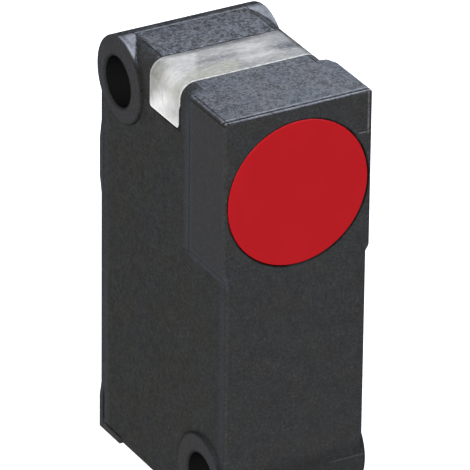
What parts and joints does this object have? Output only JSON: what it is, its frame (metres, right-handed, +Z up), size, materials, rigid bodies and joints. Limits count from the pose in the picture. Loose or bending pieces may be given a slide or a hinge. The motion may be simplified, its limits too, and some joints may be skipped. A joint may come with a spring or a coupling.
{
  "type": "proximity sensor",
  "caption": "Small block proximity sensor: black plastic housing, round red sensing face on a stepped head, clear light guide over the top, and cross bores through bosses at opposite corners.",
  "frame": {"origin": "under the middle of the block, on the plane that its feet stand on", "axes": "+Z up along the block's height, -Y out of the red sensing face, X along the fixing bores"},
  "size_m": [0.01, 0.016, 0.028],
  "materials": {
    "black_plastic": "fine grained, matt",
    "red_plastic": "smooth, satin",
    "milky_clear_plastic": "milky clear, satin",
    "black_rubber": "matt",
    "cast_resin": "cast, glossy",
    "ferrite": "sintered, matt grey",
    "former_plastic": "moulded, natural",
    "copper": "enamelled copper wire",
    "board_laminate": "green solder resist",
    "component_mould": "moulded epoxy",
    "component_ceramic": "fired ceramic",
    "tinned_metal": "tinned"
  },
  "bodies": {
    "root": {"housing": "black_plastic", "rear_cover": "black_plastic", "sensing_face": "red_plastic", "light_guide": "milky_clear_plastic", "cable_bush": "black_rubber", "resin_plug": "cast_resin", "ferrite_core": "ferrite", "coil_bobbin": "former_plastic", "coil_winding": "copper", "coil_lead_start": "copper", "coil_lead_finish": "copper", "circuit_board": "board_laminate", "sensor_ic": "component_mould", "output_transistor": "component_mould", "polarity_diode": "component_mould", "surge_diode": "component_mould", "tuning_capacitor": "component_ceramic", "filter_capacitor": "component_ceramic", "supply_capacitor": "component_ceramic", "trim_resistor": "component_ceramic", "led_resistor": "component_ceramic", "output_resistor": "component_ceramic", "status_led": "milky_clear_plastic", "power_led": "milky_clear_plastic", "terminal_plus": "tinned_metal", "terminal_minus": "tinned_metal", "terminal_output": "tinned_metal"}
  },
  "joints": []
}
